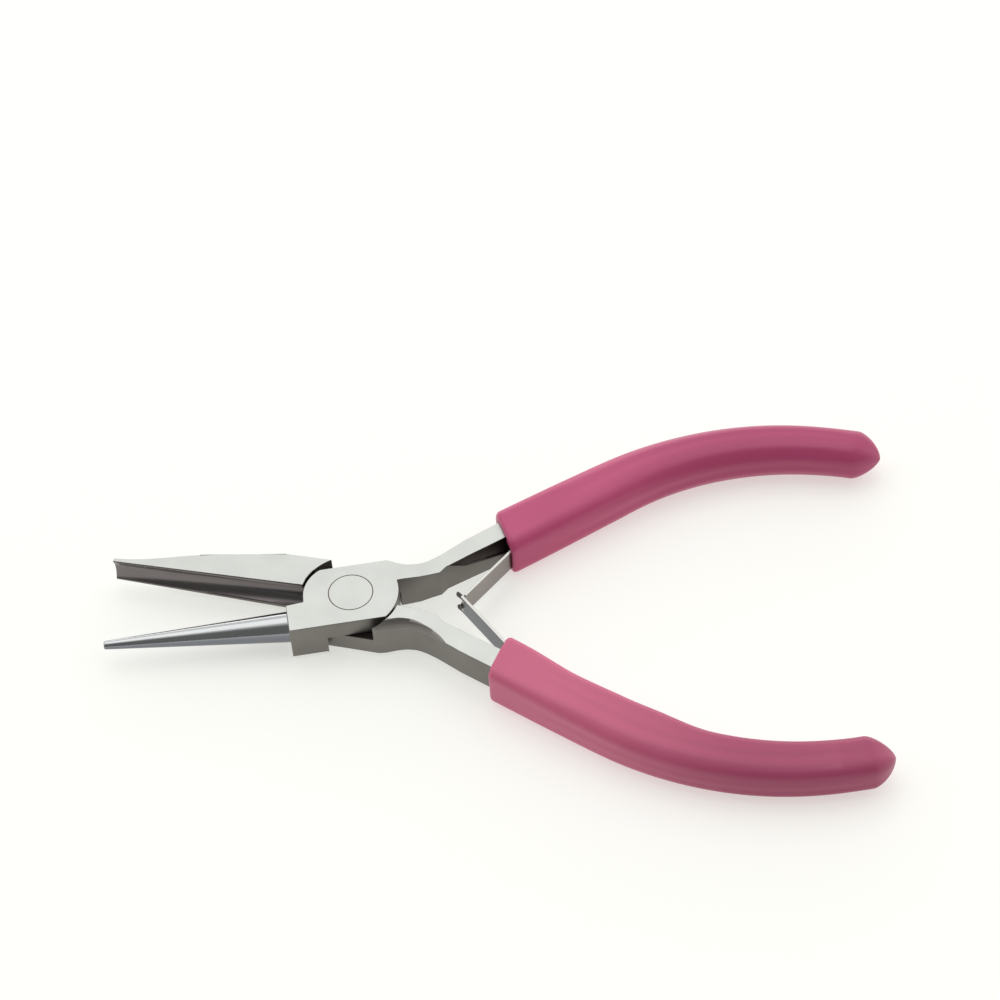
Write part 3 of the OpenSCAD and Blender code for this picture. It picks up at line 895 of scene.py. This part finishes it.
def makeGrip(name, node, body, place, vinyl):
    shape = gripShapes[name]
    fill = shape["fill"]
    bm = bmesh.new()
    count = grip["sidePoints"]
    angles = [2 * math.pi * (i + 0.5) / count for i in range(count)]
    rings = []
    # up from inside, over the rolled mouth, then along the outside to the end
    for s in (*grip["holeStations"], grip["lipInside"]):
        rings.append([gripPoint(s, roomEdge(a, s), []) for a in angles])
    inner = [roomEdge(a, 0) for a in angles]
    outer = gripSection(angles, 0, shape)
    for turn in grip["mouthTurns"]:
        t = math.radians(turn)
        ring = []
        for i in range(count):
            wall = outer[i] - inner[i]
            unit = wall.normalized()
            radius = grip["lipInside"] if turn <= 90 else min(grip["lipOutside"], wall.length * 0.62)
            edge = inner[i] + unit * radius * (1 - math.cos(t)) if turn <= 90 else \
                outer[i] - unit * radius * (1 + math.cos(t))
            ring.append(gripPoint(radius * (1 - math.sin(t)), edge, []))
        rings.append(ring)
    straightEnd = grip["end"] - grip["roundEnd"]
    steps = int(straightEnd / grip["ringStep"])
    for k in range(steps + 1):
        s = grip["lipOutside"] + (straightEnd - grip["lipOutside"]) * k / steps
        rings.append(outsideRing(angles, s, shape))
    for turn in range(6, 90, 6):
        s = straightEnd + grip["roundEnd"] * math.sin(math.radians(turn))
        rings.append(outsideRing(angles, s, shape))
    made = [[bm.verts.new(place(p)) for p in ring] for ring in rings]
    for a, b in zip(made, made[1:]):
        for i in range(count):
            j = (i + 1) % count
            bm.faces.new((a[i], b[i], b[j], a[j]))
    tip = bm.verts.new(place(gripPoint(grip["end"], Vector((0, 0)), fill)))
    for i in range(count):
        bm.faces.new((made[-1][i], tip, made[-1][(i + 1) % count]))
    bm.faces.new(made[0])
    bmesh.ops.recalc_face_normals(bm, faces=bm.faces)
    piece = putPiece(name, bm, [vinyl], keepFlats=False)
    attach(piece, body)
    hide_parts(node)
    print(name, len(piece.data.polygons), "faces")


makeGrip("upperGrip", "upper_grip", "upper_half", placeUpper, vinyls["pinkVinylUpper"])
makeGrip("lowerGrip", "lower_grip", "lower_half", placeLower, vinyls["pinkVinylLowerSheen"])


leaf = {
    "thick": 0.46,
    "width": 4.0,
    "across": -1.80,            # place of the root beside the handle's middle line
    "bendAt": 3.8,
    "rootEnd": 13.0,
    "bendRadius": 1.2,
    "angle": 19.6,              # between the relaxed blade and the handle
    "reach": 16.8,              # from the bend to the crossing
    "past": 1.4,                # length of the fork's prongs past the crossing
    "tonguePast": 0.5,
    "shoulderBack": 0.5,
    "tongue": 2.0,
    "slot": 2.4,
    "edgeRound": 0.07,
    "tipCurl": 7,               # how far the ends past the crossing are turned
}


# Middle line of the strip: from the root's end to the bend, round it, and along the blade.
def leafLine(u):
    # u is the length from the root's end; returns the point and the direction
    rootAngle = math.radians(handle["angle"] + 180)
    turn = math.radians(leaf["angle"])
    cut = leaf["bendRadius"] * math.tan(turn / 2)
    toBend = leaf["rootEnd"] - leaf["bendAt"] - cut
    start = beside(leaf["rootEnd"], leaf["across"])
    direction = Vector((math.cos(rootAngle), math.sin(rootAngle)))
    if u <= toBend:
        return start + direction * u, rootAngle
    arc = leaf["bendRadius"] * turn
    p = start + direction * toBend
    side = Vector((-direction.y, direction.x))
    centre = p + side * leaf["bendRadius"]
    a = min(1, (u - toBend) / arc) * turn
    angle = rootAngle + a
    q = centre - Vector((-math.sin(angle), math.cos(angle))) * leaf["bendRadius"]
    if u <= toBend + arc:
        return q, angle
    past = u - toBend - arc
    return q + Vector((math.cos(angle), math.sin(angle))) * past, angle


def leafLength():
    turn = math.radians(leaf["angle"])
    cut = leaf["bendRadius"] * math.tan(turn / 2)
    return leaf["rootEnd"] - leaf["bendAt"] - cut + leaf["bendRadius"] * turn + leaf["reach"] - cut


def makeLeaf(name, nodes, place, forked, material):
    crossing = leafLength()
    end = crossing + (leaf["past"] if forked else leaf["tonguePast"])
    shoulder = crossing - leaf["shoulderBack"]
    half = leaf["width"] / 2
    inner = leaf["slot"] / 2 if forked else leaf["tongue"] / 2
    columns = [-half, -inner, inner, half]
    rows = [0.0, 3.0, 6.0, 8.0]
    rows += [8.4 + 0.15 * k for k in range(10)]
    rows += [10.5 + (shoulder - 10.5) * k / 8 for k in range(9)]
    rows += [shoulder + (end - shoulder) * k / 5 for k in range(1, 6)]
    bm = bmesh.new()

    def addSheet(height):
        grid = []
        for u in rows:
            line = []
            for w in columns:
                if not forked and u > end - 0.9:
                    # the tongue's end is round
                    left = (u - (end - 0.9)) / 0.9
                    w = w * math.sqrt(max(0.12, 1 - left ** 2))
                line.append(bm.verts.new((u, w, height)))
            grid.append(line)
        return grid

    top, low = addSheet(leaf["thick"] / 2), addSheet(-leaf["thick"] / 2)
    for i in range(len(rows) - 1):
        pastShoulder = rows[i] >= shoulder - 1e-6
        for j in range(3):
            if pastShoulder and ((forked and j == 1) or (not forked and j != 1)):
                continue
            bm.faces.new((top[i][j], top[i + 1][j], top[i + 1][j + 1], top[i][j + 1]))
            bm.faces.new((low[i][j + 1], low[i + 1][j + 1], low[i + 1][j], low[i][j]))
    for i in range(len(rows)):
        for j in range(4):
            for di, dj in ((1, 0), (0, 1)):
                if i + di >= len(rows) or j + dj >= 4:
                    continue
                a, b = top[i][j], top[i + di][j + dj]
                edge = bm.edges.get((a, b))
                if edge is not None and len(edge.link_faces) == 1:
                    bm.faces.new((a, b, low[i + di][j + dj], low[i][j]))
    loose = [v for v in bm.verts if not v.link_faces]
    bmesh.ops.delete(bm, geom=loose, context="VERTS")
    bmesh.ops.recalc_face_normals(bm, faces=bm.faces)
    bm.normal_update()
    # the narrow edges take the light edge steel: a painted highlight along them
    paintFaces(bm, lambda face: 0 if abs(face.normal.z) > 0.5 else 1)
    for face in roundEdges(bm, sharpEdges(bm, 40), leaf["edgeRound"], 2):
        face.material_index = 1
    # the ends past the crossing are painted near black: painted shade where the leaves cross
    for face in bm.faces:
        if face.calc_center_median().x > crossing + 0.3:
            face.material_index = 2
    curlFrom = crossing + 0.35
    for v in bm.verts:
        u, w, h = v.co
        p, angle = leafLine(min(u, curlFrom))
        if u > curlFrom:
            extra = u - curlFrom
            bend = math.radians(leaf["tipCurl"]) * min(1, extra / 0.6)
            angle -= bend
            p = p + Vector((math.cos(angle), math.sin(angle))) * extra
        side = Vector((-math.sin(angle), math.cos(angle)))
        q = p + side * h
        v.co = place((q.x, q.y, w))
    bmesh.ops.recalc_face_normals(bm, faces=bm.faces)
    finishSteel(bm)
    piece = putPiece(name, bm, [material, steels["leafEdgeHighlight"], steels["leafTipShade"]])
    before = beside(leaf["bendAt"] + 0.7, leaf["across"])
    ahead = leafLine(leaf["rootEnd"] - leaf["bendAt"] + 0.7)[0]
    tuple(place((*before, 0)))
    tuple(place((*ahead, 0)))
    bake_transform(piece)
    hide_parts(*nodes)
    print(name, len(piece.data.polygons), "faces")


makeLeaf("upperLeafSpring", ("upper_leaf_root", "upper_leaf_blade"),
    placeUpper, False, steels["warmLeaf"])
makeLeaf("lowerLeafSpring", ("lower_leaf_root", "lower_leaf_blade"),
    placeLower, True, steels["coolLeaf"])

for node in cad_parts.values():
    node.data.materials.clear()
    node.data.materials.append(vinyls["pinkVinylUpper"] if "grip" in node.name else steels["rivetSteel"])
print("pieces done")


light = {
    "skyColour": (1.0, 1.0, 0.985),
    "skyBack": 1.05,            # the room is bright behind and above the pliers, dim on the viewer's side
    "skyFront": 0.2,
    "skyTurn": (-0.5, -0.08),
    "board": (0.52, 0.52, 0.505),
    "boardSpecks": (0.49, 0.49, 0.476),
    "tableColour": (1.0, 1.0, 0.955),
    "tableGlow": 0.54,          # a light table, so shadows stay faint
    "boardDrop": 0.0004,        # clearance under the lowest piece
    "lamps": [
        {"name": "overhead", "place": (-0.1, 0.3, 0.9), "size": (0.7, 0.7), "power": 1.1},
        {"name": "backStrip", "place": (0.05, 0.9, 0.28), "size": (1.2, 0.18), "power": 1.0},
    ],
    "aim": (0.02, 0.0, 0.0),
}


def makeFloor():
    bm = bmesh.new()
    bmesh.ops.create_grid(bm, x_segments=1, y_segments=1, size=3)
    mesh = bpy.data.meshes.new("floor")
    bm.to_mesh(mesh)
    bm.free()
    floor = bpy.data.objects.new("floor", mesh)
    floor.location.z = cadBox[0][2] - light["boardDrop"]
    bpy.context.scene.collection.objects.link(floor)
    material, tree, shader = startMaterial("paleBoard")
    paper = useGroup(tree, fineSpeckle, Per_mm=0.4, Share=0.4)
    specks = ranged(tree, paper.outputs["Specks"], 0.0, 0.3)
    colour = mixColours(tree, specks, light["board"], light["boardSpecks"])
    tree.links.new(colour, shader.inputs["Base Color"])
    shader.inputs["Roughness"].default_value = 0.9
    shader.inputs["Emission Color"].default_value = (*light["tableColour"], 1)
    shader.inputs["Emission Strength"].default_value = light["tableGlow"]
    mesh.materials.append(material)


def makeLight():
    world = bpy.data.worlds.new("studio")
    world.use_nodes = True
    tree = world.node_tree
    sky = tree.nodes["Background"]
    sky.inputs["Color"].default_value = (*light["skyColour"], 1)
    direction = addNode(tree, "ShaderNodeTexCoord").outputs["Generated"]
    parts = addNode(tree, "ShaderNodeSeparateXYZ")
    tree.links.new(direction, parts.inputs[0])
    level = addNode(tree, "ShaderNodeMapRange", interpolation_type="SMOOTHSTEP")
    tree.links.new(parts.outputs["Y"], level.inputs["Value"])
    for socket, value in (("From Min", light["skyTurn"][0]), ("From Max", light["skyTurn"][1]),
            ("To Min", light["skyFront"]), ("To Max", light["skyBack"])):
        level.inputs[socket].default_value = value
    tree.links.new(level.outputs[0], sky.inputs["Strength"])
    bpy.context.scene.world = world
    for lamp in light["lamps"]:
        data = bpy.data.lights.new(lamp["name"], "AREA")
        data.shape = "RECTANGLE"
        data.size, data.size_y = lamp["size"]
        data.energy = lamp["power"]
        holder = bpy.data.objects.new(lamp["name"], data)
        bpy.context.scene.collection.objects.link(holder)
        holder.location = lamp["place"]
        aim = Vector(light["aim"]) - holder.location
        holder.rotation_euler = aim.to_track_quat("-Z", "Y").to_euler()


camera = {
    "target": (23.1, 22.1, 3.35),       # mm
    "azimuth": 5.3,
    "elevation": 49.41,
    "roll": -4.42,
    "distance": 551.4,                  # mm
    "lens": 120.24,
}


def makeCamera():
    turn, rise, roll = (math.radians(camera[k]) for k in ("azimuth", "elevation", "roll"))
    back = Vector((math.sin(turn) * math.cos(rise), -math.cos(turn) * math.cos(rise), math.sin(rise)))
    level = Vector((math.cos(turn), math.sin(turn), 0))
    right = math.cos(roll) * level + math.sin(roll) * back.cross(level)
    data = bpy.data.cameras.new("camera")
    data.lens = camera["lens"]
    data.sensor_width = 36
    data.clip_start = 0.01
    eye = bpy.data.objects.new("camera", data)
    bpy.context.scene.collection.objects.link(eye)
    place = Matrix((right, back.cross(right), back)).transposed().to_4x4()
    place.translation = (Vector(camera["target"]) + back * camera["distance"]) * mm
    eye.matrix_world = place
    bpy.context.scene.camera = eye


makeFloor()
makeLight()
makeCamera()
bpy.context.scene.view_settings.view_transform = "Standard"
print("stage done")
